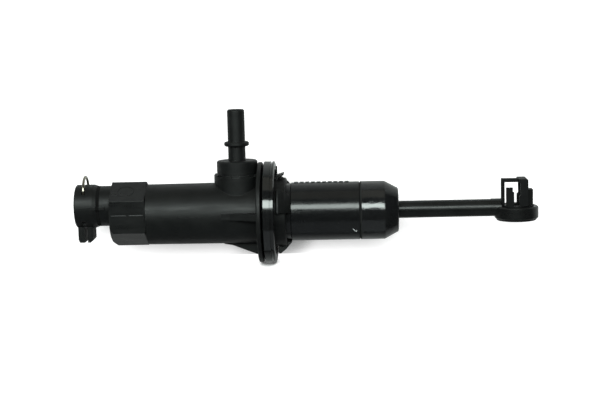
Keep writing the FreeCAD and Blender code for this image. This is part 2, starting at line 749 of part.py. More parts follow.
# End cap: skirt over the spigot, stop for the washer and a bevelled face with the rod's hole
def make_end_cap():
    body = new_body("end_cap")
    rebate_end = "barrel_end_x + cap_seam_reach + 0.1"
    skirt_floor = "cap_spigot_end_x + 0.2"
    snap_gap = "cap_skirt_radius + snap_height"
    turn(body, "Shell", [
        ("cap_front_x", "cap_seam_radius + running_gap"),
        ("cap_front_x", "barrel_radius - 0.2"),
        ("cap_front_x + 0.2", "barrel_radius"),
        ("(cap_front_x + cap_bevel_x) / 2", "barrel_radius + cap_swell"),
        ("cap_bevel_x", "barrel_radius"),
        ("cap_bevel_end_x", "cap_face_radius"),
        ("cap_face_x - 0.3", "cap_face_radius - 0.3"),
        ("cap_face_x", "cap_face_radius - 0.9"),
        ("cap_face_x", "cap_hole_radius + 0.6"),
        ("cap_face_x - 0.6", "cap_hole_radius"),
        ("washer_back_x", "cap_hole_radius"),
        ("washer_back_x", "cap_bore_radius"),
        (skirt_floor, "cap_bore_radius"),
        (skirt_floor, "cap_skirt_radius"),
        ("snap_x + snap_width + 0.1", "cap_skirt_radius"),
        ("snap_x + snap_width - 0.2", snap_gap),
        ("snap_x + 0.2", snap_gap),
        ("snap_x - 0.1", "cap_skirt_radius"),
        (rebate_end, "cap_skirt_radius"),
        (rebate_end, "cap_seam_radius + running_gap"),
    ])
    return body


# Bulkhead seal: ring round the sleeve, coned away from the flange's rim, with a groove and a lip
def make_bulkhead_seal():
    body = new_body("bulkhead_seal")
    groove_end = "seal_groove_x + seal_groove_width"
    inner = "sleeve_radius + running_gap"
    turn(body, "Ring", [
        ("flange_back_x", inner),
        ("flange_back_x", "seal_seat_radius"),
        ("seal_front_x", "seal_radius - 0.8"),
        ("seal_front_x + 0.3", "seal_radius"),
        ("seal_groove_x", "seal_radius"),
        ("seal_groove_x", "seal_radius - seal_groove_depth"),
        (groove_end, "seal_radius - seal_groove_depth"),
        (groove_end, "seal_radius"),
        ("-0.3", "seal_radius"),
        ("0", "seal_face_radius"),
        ("0", "seal_land_radius"),
        ("-seal_land_height", "seal_land_radius"),
        ("-seal_land_height", inner),
    ])
    return body


# Cup seal: a back ring with two lips towards the pressure
def make_cup_seal(label, back):
    body = new_body(label)
    front = f"{back} - seal_width"
    root = f"{front} + lip_depth"
    inner = "plunger_fit"
    outer = "seal_bore_radius - running_gap"
    turn(body, "Cup", [
        (back, inner),
        (back, outer),
        (f"{front} + 0.3", outer),
        (front, f"{outer} - 0.3"),
        (f"{front} + 0.2", f"{outer} - lip_thickness"),
        (root, f"{outer} - lip_thickness - 0.1"),
        (root, f"{inner} + lip_thickness + 0.1"),
        (f"{front} + 0.2", f"{inner} + lip_thickness"),
        (front, f"{inner} + 0.3"),
        (f"{front} + 0.3", inner),
    ])
    return body


# Spacer between the cup seals, with an outer channel and radial holes
def make_seal_spacer():
    body = new_body("seal_spacer")
    inner = "plunger_fit + 0.3"
    outer = "seal_bore_radius - running_gap"
    floor = f"{outer} - spacer_groove_depth"
    turn(body, "Ring", [
        ("primary_back_x", inner),
        ("primary_back_x", outer),
        ("primary_back_x + 0.8", outer),
        ("primary_back_x + 0.8", floor),
        ("spacer_back_x - 0.8", floor),
        ("spacer_back_x - 0.8", outer),
        ("spacer_back_x", outer),
        ("spacer_back_x", inner),
    ])
    hole = circles(body, "Hole_section", "XY_Plane",
                   [("primary_back_x + spacer_width / 2", "0", "spacer_hole_radius")])
    pocket = push(body, "Pocket", "Hole", hole, outer, backwards=True)
    ring_of(body, "Holes", pocket, hole, "H_Axis", "spacer_hole_count")
    return body


# Plain rings that are turned from one rectangle
def make_ring(label, left, right, inner, outer):
    body = new_body(label)
    turn(body, "Ring", box(left, right, inner, outer))
    return body


# Piston: hollow at both ends, with a web, vents at the nose and seats for the rings
def make_piston():
    body = new_body("piston")
    bore = "plunger_bore"
    ring_end = "guide_ring_x + guide_ring_width"
    rib_gap = f"{bore} + retainer_rib_height"
    turn(body, "Shell", [
        ("plunger_nose_x", bore),
        ("plunger_nose_x", "plunger_radius - 0.6"),
        ("plunger_nose_x + 0.9", "plunger_radius"),
        ("guide_ring_x", "plunger_radius"),
        ("guide_ring_x", "guide_ring_seat_radius"),
        (ring_end, "guide_ring_seat_radius"),
        (ring_end, "plunger_radius"),
        ("plunger_tail_x - 0.5", "plunger_radius"),
        ("plunger_tail_x", "plunger_radius - 0.5"),
        ("plunger_tail_x", bore),
        ("retainer_rib_x + retainer_rib_width + 0.1", bore),
        ("retainer_rib_x + retainer_rib_width + 0.1", rib_gap),
        ("retainer_rib_x - 0.1", rib_gap),
        ("retainer_rib_x - 0.1", bore),
        ("web_back_x", bore),
        ("web_back_x", "0"),
        ("web_front_x", "0"),
        ("web_front_x", bore),
    ])
    vent = circles(body, "Vent_section", "XY_Plane", [("vent_x", "0", "vent_radius")])
    pocket = push(body, "Pocket", "Vent", vent, "plunger_radius + 1", backwards=True)
    ring_of(body, "Vents", pocket, vent, "H_Axis", "vent_count")
    return body


# Seat and stem for the spring, with notches that let the fluid past
def make_spring_seat():
    body = new_body("spring_seat")
    stem_end = "seat_face_x + seat_stem_length"
    turn(body, "Seat", [
        ("chamber_end_x", "seat_bore_radius"),
        ("chamber_end_x", "seat_radius"),
        ("seat_face_x", "seat_radius"),
        ("seat_face_x", "seat_stem_radius"),
        (f"{stem_end} - 1", "seat_stem_radius"),
        (stem_end, "seat_stem_radius - 0.6"),
        (stem_end, "seat_bore_radius"),
    ])
    notch = outline(body, "Notch_section", "YZ_Plane",
                    box("-seat_notch_width / 2", "seat_notch_width / 2", "seat_stem_radius + 1.5",
                        "seat_radius + 1"))
    bind(notch, AttachmentOffset__Base__z="seat_face_x")
    pocket = push(body, "Pocket", "Notch", notch)
    ring_of(body, "Notches", pocket, notch, "N_Axis", "seat_notch_count")
    return body


# Return spring: round wire on a helix, from the seat to the piston's web
def make_return_spring():
    helix = doc.addObject("Part::Helix", "spring_line")
    length = "web_front_x - seat_face_x - 2 * spring_wire_radius - 2 * running_gap"
    bind(helix, Radius="spring_radius", Height=length, Pitch=f"({length}) / spring_turns")
    wire = doc.addObject("Part::Circle", "spring_wire")
    wire.Placement = FreeCAD.Placement(FreeCAD.Vector(), FreeCAD.Rotation(FreeCAD.Vector(1, 0, 0), 90))
    bind(wire, Radius="spring_wire_radius", Placement__Base__x="spring_radius")
    doc.recompute()
    spring = doc.addObject("Part::Sweep", "return_spring")
    spring.Label = "return_spring"
    spring.Sections = [wire]
    spring.Spine = (helix, [])
    spring.Solid = True
    spring.Frenet = True
    spring.Placement = FreeCAD.Placement(FreeCAD.Vector(), ALONG_X)
    bind(spring, Placement__Base__x="seat_face_x + spring_wire_radius + running_gap")
    return spring


# Thrust pad and ball retainer: they close round the rod's ball from both sides
def make_thrust_pad():
    body = new_body("thrust_pad")
    outer = "plunger_bore - running_gap"
    turn(body, "Pad", [
        ("web_back_x + running_gap", "0"),
        ("web_back_x + running_gap", f"{outer} - 0.6"),
        ("web_back_x + running_gap + 0.6", outer),
        ("pad_end_x", outer),
        ("pad_end_x", "0"),
    ])
    cut_ball_seat(body)
    return body


def cut_ball_seat(body):
    seat = body.newObject("PartDesign::SubtractiveSphere", "Ball_seat")
    bind(seat, Radius="ball_seat_radius", Placement__Base__x="ball_x")
    return seat


def make_ball_retainer():
    body = new_body("ball_retainer")
    outer = "plunger_bore - running_gap"
    rib_end = "retainer_rib_x + retainer_rib_width"
    turn(body, "Ring", [
        ("pad_end_x", "retainer_throat_radius"),
        ("pad_end_x", outer),
        ("retainer_rib_x", outer),
        ("retainer_rib_x", f"{outer} + retainer_rib_height"),
        (f"{rib_end} - 0.6", f"{outer} + retainer_rib_height"),
        (rib_end, outer),
        ("retainer_end_x", outer),
        ("retainer_end_x", "retainer_throat_radius + 1"),
        ("retainer_end_x - 1", "retainer_throat_radius"),
    ])
    cut_ball_seat(body)
    return body


# Push rod: ball, neck, round rod and the flat eye
def make_push_rod():
    body = new_body("push_rod")
    rod_end = "eye_x - eye_bore_radius + 1"
    turn(body, "Rod", [
        ("ball_x", "0"),
        ("ball_x", "rod_neck_radius"),
        ("rod_neck_end_x", "rod_neck_radius"),
        ("rod_shoulder_x", "rod_radius"),
        (rod_end, "rod_radius"),
        (rod_end, "0"),
    ])
    ball = body.newObject("PartDesign::AdditiveSphere", "Ball")
    bind(ball, Radius="ball_radius", Placement__Base__x="ball_x")
    turn_upright(body, "Eye", [
        ("eye_bore_radius - 1", "eye_bottom_z"),
        ("eye_radius - eye_chamfer", "eye_bottom_z"),
        ("eye_radius", "eye_bottom_z + eye_chamfer"),
        ("eye_radius", "eye_top_z - eye_chamfer"),
        ("eye_radius - eye_chamfer", "eye_top_z"),
        ("eye_bore_radius - 1", "eye_top_z"),
    ], "eye_x")
    hole = circles(body, "Eye_bore_section", "XY_Plane", [("eye_x", "0", "eye_bore_radius")])
    push(body, "Pocket", "Eye_bore", hole, both_ways=True)
    return body


# Pedal pin clip: bush in the eye, with a cage over it and sprung fingers inside
def make_pedal_pin_clip():
    body = new_body("pedal_pin_clip")
    bush = "eye_bore_radius - running_gap"
    lip_bottom = "eye_bottom_z - pin_clip_lip"
    turn_upright(body, "Bush", [
        ("pin_radius", lip_bottom),
        ("pin_clip_lip_radius - 0.3", lip_bottom),
        ("pin_clip_lip_radius", f"{lip_bottom} + 0.3"),
        ("pin_clip_lip_radius", "eye_bottom_z"),
        (bush, "eye_bottom_z"),
        (bush, "pin_clip_top_z"),
        ("pin_radius", "pin_clip_top_z"),
    ], "eye_x")
    make_cage(body)
    make_fingers(body)
    return body


def make_cage(body):
    """Narrow post and bar, a wide web, and the way for the pin's end between them."""
    web_foot = "cage_web_left_x - cage_web_foot"
    post_right = "cage_left_x + cage_post_thickness"
    post = outline(body, "Post_section", "XZ_Plane", [
        ("cage_left_x", "eye_top_z"),
        (post_right, "eye_top_z"),
        (post_right, "cage_bar_z"),
        ("cage_web_left_x + 0.5", "cage_bar_z"),
        ("cage_web_left_x + 0.5", "cage_top_z - 0.15"),
        ("cage_left_x + 0.5", "cage_top_z - 0.15"),
        ("cage_left_x", "cage_top_z - 0.8"),
    ])
    push(body, "Pad", "Post", post, "cage_post_depth", both_ways=True)
    web = outline(body, "Web_section", "XZ_Plane", [
        (web_foot, "eye_top_z"),
        ("cage_web_right_x", "eye_top_z"),
        ("cage_web_right_x", "cage_top_z - 0.4"),
        ("cage_web_right_x - 0.4", "cage_top_z"),
        (web_foot, "cage_top_z"),
        (web_foot, "cage_bar_z"),
        ("cage_web_left_x", "cage_bar_z - 0.2"),
        ("cage_web_left_x + 0.1", "(eye_top_z + cage_bar_z) / 2"),
        (web_foot, "(eye_top_z + cage_bar_z) / 2 - 0.6"),
    ])
    push(body, "Pad", "Web", web, "cage_web_depth", both_ways=True)
    way = circles(body, "Pin_way_section", "XY_Plane", [("eye_x", "0", "pin_radius + pin_way_gap")])
    bind(way, AttachmentOffset__Base__z="pin_way_z")
    push(body, "Pocket", "Pin_way", way, "cage_bar_z - pin_way_z", backwards=True)


def make_fingers(body):
    finger = outline(body, "Finger_section", "XZ_Plane", [
        ("finger_left_x", "eye_top_z"),
        ("finger_right_x + finger_step_width", "eye_top_z"),
        ("finger_right_x + finger_step_width", "eye_top_z + finger_step_height"),
        ("finger_right_x", "eye_top_z + finger_step_height"),
        ("finger_right_x", "eye_top_z + finger_height"),
        ("finger_left_x", "eye_top_z + finger_height"),
    ])
    bind(finger, AttachmentOffset__Base__z="pin_radius + 0.3")
    push(body, "Pad", "Near_finger", finger, "finger_thickness")
    hook = outline(body, "Hook_section", "XZ_Plane",
                   box("cage_web_right_x - 0.2", "hook_right_x", "eye_top_z", "eye_top_z + hook_height"))
    push(body, "Pad", "Hook", hook, "hook_depth", both_ways=True)


# Inlet fitting: plug with a ring groove, cap on the cup's rim and the beaded hose spigot
def make_inlet_fitting():
    body = new_body("inlet_fitting")
    plug = "cup_bore_radius - running_gap"
    groove_end = "inlet_groove_z + inlet_ring_section + 2 * running_gap"
    turn_upright(body, "Fitting", [
        ("spigot_bore_radius", "cup_floor_z + 0.3"),
        (f"{plug} - 0.4", "cup_floor_z + 0.3"),
        (plug, "cup_floor_z + 0.7"),
        (plug, "inlet_groove_z"),
        ("inlet_groove_radius - running_gap", "inlet_groove_z"),
        ("inlet_groove_radius - running_gap", groove_end),
        (plug, groove_end),
        (plug, "cup_rim_z"),
        ("fitting_cap_radius", "cup_rim_z"),
        ("fitting_cap_radius", "fitting_cap_top_z - fitting_cap_chamfer"),
        ("fitting_cap_radius - fitting_cap_chamfer", "fitting_cap_top_z"),
        ("spigot_radius", "fitting_cap_top_z"),
        ("spigot_radius", "bead_z - bead_width / 2"),
        ("bead_radius - 0.5", "bead_z - bead_width / 2"),
        ("bead_radius", "bead_z - bead_width / 2 + 0.5"),
        ("bead_radius", "bead_z + bead_width / 2 - 0.5"),
        ("bead_radius - 0.5", "bead_z + bead_width / 2"),
        ("spigot_radius", "bead_z + bead_width / 2"),
        ("spigot_radius", "spigot_tip_z - 0.6"),
        ("spigot_radius - 0.5", "spigot_tip_z"),
        ("spigot_bore_radius", "spigot_tip_z"),
    ], "inlet_x")
    return body


# Locking clip: round wire, two legs and a half-round arch over the outlet
def make_outlet_clip():
    body = new_body("outlet_clip")
    path = new_sketch(body, "Wire_path", "YZ_Plane")
    bind(path, AttachmentOffset__Base__z="clip_x")
    low = value("clip_end_z")
    spring_line = value("clip_arch_z")
    leg = value("clip_leg_y")
    corner = FreeCAD.Vector
    path.addGeometry(Part.LineSegment(corner(-leg, low, 0), corner(-leg, spring_line, 0)), False)
    arch = Part.Circle(corner(0, spring_line, 0), corner(0, 0, 1), leg)
    path.addGeometry(Part.ArcOfCircle(arch, 0, 3.141592653589793), False)
    path.addGeometry(Part.LineSegment(corner(leg, spring_line, 0), corner(leg, low, 0)), False)
    path.addConstraint(Sketcher.Constraint("Coincident", 0, 2, 1, 2))
    path.addConstraint(Sketcher.Constraint("Coincident", 1, 1, 2, 1))
    path.addConstraint(Sketcher.Constraint("Vertical", 0))
    path.addConstraint(Sketcher.Constraint("Vertical", 2))
    for kind, index, point, text in (
        ("DistanceX", 0, 1, "-clip_leg_y"),
        ("DistanceY", 0, 1, "clip_end_z"),
        ("DistanceY", 2, 2, "clip_end_z"),
        ("DistanceX", 1, 3, "0"),
        ("DistanceY", 1, 3, "clip_arch_z"),
        ("DistanceY", 1, 1, "clip_arch_z"),
        ("DistanceY", 1, 2, "clip_arch_z"),
    ):
        held = path.addConstraint(Sketcher.Constraint(kind, -1, 1, index, point, value(text)))
        path.setExpression(f"Constraints[{held}]", dim(text))
    wire = circles(body, "Wire_section", "XY_Plane", [("clip_x", "-clip_leg_y", "clip_wire_radius")])
    bind(wire, AttachmentOffset__Base__z="clip_end_z")
    doc.recompute()
    pipe = body.newObject("PartDesign::AdditivePipe", "Wire")
    pipe.Profile = wire
    pipe.Spine = path
    return body


def make_outlet_rings():
    ring = "outlet_ring_section / 2"
    o_ring("outlet_o_ring", f"pipe_radius + {ring}", f"{ring} - running_gap / 2", ALONG_X,
           Placement__Base__x=f"outlet_groove_x + {ring} + running_gap",
           Placement__Base__z="outlet_height")
    body = new_body("outlet_backup_ring")
    start = "outlet_groove_x + outlet_ring_section + running_gap"
    turn(body, "Ring", box(start, f"{start} + outlet_backup_width", "pipe_radius + running_gap",
                           "outlet_groove_radius - running_gap"), height="outlet_height")


make_front_housing()
make_rear_housing()
make_end_cap()
make_bulkhead_seal()
make_cup_seal("primary_seal", "primary_back_x")
make_seal_spacer()
make_cup_seal("secondary_seal", "nose_x")
make_ring("guide_bush", "nose_x", "bush_end_x", "plunger_fit", "bush_radius")
make_ring("stop_washer", "washer_front_x", "washer_back_x",
          "cap_hole_radius + 0.3", "cap_bore_radius - running_gap")
make_ring("piston_guide_ring", "guide_ring_x + running_gap", "guide_ring_x + guide_ring_width - running_gap",
          "guide_ring_seat_radius + running_gap", "barrel_bore_radius - running_gap")
make_piston()
make_spring_seat()
make_return_spring()
make_thrust_pad()
make_ball_retainer()
make_push_rod()
make_pedal_pin_clip()
make_inlet_fitting()
make_outlet_clip()
make_outlet_rings()
o_ring("housing_o_ring", "socket_radius - barrel_ring_section / 2 - running_gap / 2",
       "barrel_ring_section / 2 - running_gap / 2", ALONG_X,
       Placement__Base__x="barrel_ring_x + barrel_ring_groove_width / 2")
o_ring("inlet_o_ring", "(cup_bore_radius + inlet_groove_radius) / 2",
       "(cup_bore_radius - inlet_groove_radius) / 2 - running_gap / 2",
       Placement__Base__x="inlet_x",
       Placement__Base__z="inlet_groove_z + inlet_ring_section / 2 + running_gap")
doc.recompute()

NODES = [
    "front_housing", "rear_housing", "end_cap", "bulkhead_seal", "primary_seal", "seal_spacer",
    "secondary_seal", "guide_bush", "stop_washer", "piston_guide_ring", "piston", "spring_seat",
    "return_spring", "thrust_pad", "ball_retainer", "push_rod", "pedal_pin_clip", "inlet_fitting",
    "outlet_clip", "outlet_o_ring", "outlet_backup_ring", "housing_o_ring", "inlet_o_ring",
]

for item in doc.Objects:
    faults = [state for state in item.State if state in ("Invalid", "Error")]
    if faults:
        raise RuntimeError(f"{item.Label} did not compute: {faults}")
for node in NODES:
    shape = doc.getObjectsByLabel(node)[0].Shape
    if shape.isNull() or not shape.isValid() or not shape.Solids:
        raise RuntimeError(f"{node} has no valid solid")
for node in NODES:
    doc.getObjectsByLabel(node)[0].Shape.exportStep(f"parts/{node}.step")
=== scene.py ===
import math

import bmesh
import bpy
from mathutils import Matrix, Vector


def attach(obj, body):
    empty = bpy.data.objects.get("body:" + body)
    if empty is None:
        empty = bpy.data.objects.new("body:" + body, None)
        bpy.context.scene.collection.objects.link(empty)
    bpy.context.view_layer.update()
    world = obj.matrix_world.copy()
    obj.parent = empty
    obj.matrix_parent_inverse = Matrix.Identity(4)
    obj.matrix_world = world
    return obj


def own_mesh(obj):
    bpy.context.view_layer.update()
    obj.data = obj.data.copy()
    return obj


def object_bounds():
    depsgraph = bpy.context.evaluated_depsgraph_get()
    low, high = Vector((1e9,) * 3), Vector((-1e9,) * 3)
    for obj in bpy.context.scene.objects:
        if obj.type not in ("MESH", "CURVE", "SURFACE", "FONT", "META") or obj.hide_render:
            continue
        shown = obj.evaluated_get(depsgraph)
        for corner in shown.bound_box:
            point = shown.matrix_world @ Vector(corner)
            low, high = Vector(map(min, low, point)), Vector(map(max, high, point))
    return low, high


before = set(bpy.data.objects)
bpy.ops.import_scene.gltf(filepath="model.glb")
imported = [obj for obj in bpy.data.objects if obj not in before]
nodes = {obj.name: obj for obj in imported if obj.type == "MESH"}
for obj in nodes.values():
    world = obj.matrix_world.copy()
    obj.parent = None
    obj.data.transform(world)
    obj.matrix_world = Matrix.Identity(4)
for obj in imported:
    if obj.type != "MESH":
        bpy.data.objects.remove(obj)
cad_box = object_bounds()

MM = 0.001

# Sizes of the part that the small marks sit on, in millimetres
NECK_STEP_X = -81.9
HEXAGON_X = -67.8
HEXAGON_HALF_LENGTH = 7.8
HEXAGON_HALF = 12.9
HEXAGON_AXIS_Z = 0.5
BARREL_RADIUS = 13.45
SEAM_X = 38.85
CAGE_LEFT_X = 104.4
CAGE_TOP_Z = 13.5
EYE_TOP_Z = 0.6

# Camera, as the photograph saw the part
CAMERA_DISTANCE = 664 * MM
CAMERA_AZIMUTH = 2.2
CAMERA_ELEVATION = 7.4
CAMERA_ROLL = 1.45
CAMERA_TARGET = Vector((11.17, 0.0, 5.3)) * MM
CAMERA_LENS = 85.92
CAMERA_SENSOR = 36.0

# Surroundings
LIGHT_TARGET = Vector((15.0, 0.0, 0.0)) * MM
AMBIENT = 0.2
MIRRORED_WORLD = 0.04
STAGE_SIZE = 4.0
STAGE_GAP = 0.2 * MM
STAGE_MOTTLE = 8.0
PAPER_WHITE = (0.5, 0.5, 0.5)
PAPER_STAIN = (0.51, 0.51, 0.51)
PAPER_GLOW = 1.0
SHADED_GLOW = 0.1
MIRRORED_GLOW = 0.17
PAPER_HALF_HEIGHT = 90 * MM

# Shading by the part: its reach, how open a spot is at the lowest and the full glow, and the way to the light
PAPER_SHADE = {"reach": 20 * MM, "closed": 0.6, "clear": 0.95, "sky": (0.0, -0.5, 0.87)}
FLOOR_SHADE = {"reach": 6 * MM, "closed": 0.1, "clear": 0.6, "sky": (0.0, 0.0, 1.0)}
SHADE_SAMPLES = 12

# Patterns of the materials, where a scale is in features per metre
CLOUD_SCALE = 140.0
FLOW_SCALE = 500.0
FLOW_STRETCH = (0.15, 1.0, 1.0)
WEAR_SCALE = 900.0
LINE_SCALE = 5000.0
STAIN_SCALE = 260.0
LINE_DEPTH = 0.004 * MM
GRAIN_GLOSS = 0.03
CLOUD_TO_GRAIN_DEPTH = 4
EDGE_SAMPLES = 6
# Edges are made lighter in colour, partly as wear and partly as a painted highlight along them
EDGE_WEAR_AND_HIGHLIGHT = (0.02, 0.2)
# Painted shade: the dark colour of the bands in a recess or seam
PAINTED_SHADE = (0.002, 0.002, 0.002)
BLACK = (0.0, 0.0, 0.0)


def link(tree, source, target):
    tree.links.new(source, target)


def material_with(name):
    """Material with an empty tree, and its output node."""
    material = bpy.data.materials.new(name)
    material.use_nodes = True
    tree = material.node_tree
    tree.nodes.clear()
    return material, tree, tree.nodes.new("ShaderNodeOutputMaterial")


def math_node(tree, operation, first, second=None):
    """Math node on sockets or numbers."""
    node = tree.nodes.new("ShaderNodeMath")
    node.operation = operation
    for socket, given in zip(node.inputs, (first, second)):
        if given is None:
            continue
        if isinstance(given, (int, float)):
            socket.default_value = given
        else:
            link(tree, given, socket)
    return node.outputs[0]


def noise(tree, place, scale, detail=3.0, stretch=None):
    """Noise in the object's own metres: scale is features per metre."""
    if stretch is not None:
        mapping = tree.nodes.new("ShaderNodeMapping")
        mapping.inputs["Scale"].default_value = stretch
        link(tree, place, mapping.inputs["Vector"])
        place = mapping.outputs[0]
    node = tree.nodes.new("ShaderNodeTexNoise")
    node.inputs["Scale"].default_value = scale
    node.inputs["Detail"].default_value = detail
    link(tree, place, node.inputs["Vector"])
    return node.outputs["Fac"]


def spread(tree, factor, low, high, start=0.3, end=0.7):
    """Map start..end to low..high. The usual start and end are a noise's middle range."""
    node = tree.nodes.new("ShaderNodeMapRange")
    node.inputs["From Min"].default_value = start
    node.inputs["From Max"].default_value = end
    node.inputs["To Min"].default_value = low
    node.inputs["To Max"].default_value = high
    link(tree, factor, node.inputs["Value"])
    return node.outputs[0]


def mixed(tree, factor, low, high):
    """Blend of two colours, each a tuple or a socket, by a factor from 0 to 1."""
    node = tree.nodes.new("ShaderNodeMix")
    node.data_type = "RGBA"
    link(tree, factor, node.inputs["Factor"])
    for socket, given in ((node.inputs["A"], low), (node.inputs["B"], high)):
        if isinstance(given, tuple):
            socket.default_value = (*given, 1.0)
        else:
            link(tree, given, socket)
    return node.outputs["Result"]


def bump(tree, height, distance, normal):
    node = tree.nodes.new("ShaderNodeBump")
    node.inputs["Distance"].default_value = distance
    link(tree, height, node.inputs["Height"])
    link(tree, normal, node.inputs["Normal"])
    return node.outputs[0]


def soft_edges(tree, radius):
    """Normal that rounds the edges, and a mask that is high along them."""
    rounded = tree.nodes.new("ShaderNodeBevel")
    rounded.samples = EDGE_SAMPLES
    rounded.inputs["Radius"].default_value = radius
    geometry = tree.nodes.new("ShaderNodeNewGeometry")
    dot = tree.nodes.new("ShaderNodeVectorMath")
    dot.operation = "DOT_PRODUCT"
    link(tree, rounded.outputs[0], dot.inputs[0])
    link(tree, geometry.outputs["Normal"], dot.inputs[1])
    turned = math_node(tree, "SUBTRACT", 1.0, dot.outputs["Value"])
    start, end = EDGE_WEAR_AND_HIGHLIGHT
    return rounded.outputs[0], spread(tree, turned, 0.0, 1.0, start, end)


def band_mask(tree, place, centre, half_width):
    """1 within half_width of a place along X, and 0 elsewhere."""
    parts = tree.nodes.new("ShaderNodeSeparateXYZ")
    link(tree, place, parts.inputs[0])
    away = math_node(tree, "ABSOLUTE", math_node(tree, "SUBTRACT", parts.outputs["X"], centre))
    return math_node(tree, "LESS_THAN", away, half_width)


def moulded(name, dark, light, wear_and_highlight, roughness, grain, edge_radius, specular=0.5, shade_band=None, smooth=None):
    """Moulded plastic or rubber: mottled colour, fine grain, drifting gloss and edges that are lighter in
    colour, partly as wear and partly as a painted highlight along them.

    roughness is (smooth, rough) and grain is (features per metre, depth in metres). A shade band is a
    place along X and half a width, where the surface is made matt and painted dark, as shade in a recess
    or seam. A smooth band is such a place too, with the share of the roughness that is left there, and
    its own specular level.
    """
    material, tree, output = material_with(name)
    shader = tree.nodes.new("ShaderNodeBsdfPrincipled")
    shader.inputs["Specular IOR Level"].default_value = specular
    place = tree.nodes.new("ShaderNodeTexCoord").outputs["Object"]
    normal, edge = soft_edges(tree, edge_radius)
    grain_scale, grain_depth = grain
    cloud = noise(tree, place, CLOUD_SCALE, detail=4.0)
    fine = noise(tree, place, grain_scale, detail=2.0)
    flow = noise(tree, place, FLOW_SCALE, stretch=FLOW_STRETCH)
    wear = spread(tree, noise(tree, place, WEAR_SCALE), 0.0, 1.0)
    colour = mixed(tree, spread(tree, cloud, 0.0, 1.0), dark, light)
    # Lighter edges: partly wear, partly a painted highlight
    colour = mixed(tree, math_node(tree, "MULTIPLY", edge, wear), colour, wear_and_highlight)
    gloss = math_node(tree, "ADD", spread(tree, flow, *roughness),
                      spread(tree, fine, -GRAIN_GLOSS, GRAIN_GLOSS))
    # Painted shade: a band in a recess or seam is made matt and dark
    if shade_band is not None:
        shade_mask = band_mask(tree, place, *shade_band)
        colour = mixed(tree, shade_mask, colour, PAINTED_SHADE)
        gloss = math_node(tree, "MAXIMUM", gloss, shade_mask)
    if smooth is not None:
        centre, half_width, share, level = smooth
        band = band_mask(tree, place, centre, half_width)
        share_here = spread(tree, band, 1.0, share, start=0.0, end=1.0)
        gloss = math_node(tree, "MULTIPLY", gloss, share_here)
        level_here = spread(tree, band, specular, level, start=0.0, end=1.0)
        link(tree, level_here, shader.inputs["Specular IOR Level"])
    link(tree, colour, shader.inputs["Base Color"])
    link(tree, gloss, shader.inputs["Roughness"])
    normal = bump(tree, fine, grain_depth, normal)
    normal = bump(tree, cloud, grain_depth * CLOUD_TO_GRAIN_DEPTH, normal)
    link(tree, normal, shader.inputs["Normal"])
    link(tree, shader.outputs[0], output.inputs["Surface"])
    return material


def turned_metal(name, dark, light, roughness, line_stretch, edge_radius):
    """Ground or drawn metal: fine lines along one way and faint stains."""
    material, tree, output = material_with(name)
    shader = tree.nodes.new("ShaderNodeBsdfPrincipled")
    shader.inputs["Metallic"].default_value = 1.0
    place = tree.nodes.new("ShaderNodeTexCoord").outputs["Object"]
    normal, edge = soft_edges(tree, edge_radius)
    lines = noise(tree, place, LINE_SCALE, detail=2.0, stretch=line_stretch)
    stain = noise(tree, place, STAIN_SCALE, detail=4.0)
    colour = mixed(tree, spread(tree, stain, 0.0, 1.0), dark, light)
    link(tree, mixed(tree, edge, colour, light), shader.inputs["Base Color"])
    link(tree, spread(tree, lines, *roughness), shader.inputs["Roughness"])
    link(tree, bump(tree, lines, LINE_DEPTH, normal), shader.inputs["Normal"])
    link(tree, shader.outputs[0], output.inputs["Surface"])
    return material


def paint(material, *names):
    for name in names:
        mesh = nodes[name].data
        mesh.materials.clear()
        mesh.materials.append(material)


# Bands along X: a place, half a width and, for the hexagon, its share of the roughness and specular level
# The neck's recess behind the collar is painted dark, as shade
NECK_RECESS_SHADE = (NECK_STEP_X * MM, 0.8 * MM)
# The seam between barrel and cap is painted dark, as shade in its groove
CAP_SEAM_SHADE = ((SEAM_X + 0.2) * MM, 0.6 * MM)
SMOOTH_HEXAGON = (HEXAGON_X * MM, HEXAGON_HALF_LENGTH * MM, 0.66, 0.42)

# Moulded materials, from the satin housing to the bearing rings
SATIN_BLACK = moulded(
    "satin_black_plastic", dark=(0.0035, 0.004, 0.004), light=(0.007, 0.0075, 0.0075),
    wear_and_highlight=(0.03, 0.031, 0.031), roughness=(0.4, 0.55), grain=(3200.0, 0.01 * MM), edge_radius=0.3 * MM,
    specular=0.3, shade_band=NECK_RECESS_SHADE, smooth=SMOOTH_HEXAGON)
GLOSS_BLACK = moulded(
    "gloss_black_plastic", dark=(0.004, 0.0045, 0.005), light=(0.007, 0.0075, 0.008),
    wear_and_highlight=(0.02, 0.021, 0.022), roughness=(0.16, 0.26), grain=(1400.0, 0.012 * MM), edge_radius=0.1 * MM,
    shade_band=CAP_SEAM_SHADE)
CAP_BLACK = moulded(
    "cap_black_plastic", dark=(0.004, 0.0045, 0.005), light=(0.008, 0.0085, 0.009),
    wear_and_highlight=(0.02, 0.021, 0.022), roughness=(0.1, 0.18), grain=(700.0, 0.06 * MM), edge_radius=1.2 * MM,
    specular=0.9, shade_band=CAP_SEAM_SHADE)
SEAL_RUBBER = moulded(
    "seal_rubber", dark=(0.004, 0.0045, 0.0045), light=(0.008, 0.0085, 0.009),
    wear_and_highlight=(0.01, 0.011, 0.011), roughness=(0.08, 0.15), grain=(1500.0, 0.004 * MM), edge_radius=0.2 * MM,
    specular=0.9)
ROD_BLACK = moulded(
    "rod_black_plastic", dark=(0.004, 0.0045, 0.0045), light=(0.008, 0.0085, 0.0085),
    wear_and_highlight=(0.02, 0.021, 0.021), roughness=(0.26, 0.36), grain=(3000.0, 0.004 * MM), edge_radius=0.25 * MM,
    specular=0.35)
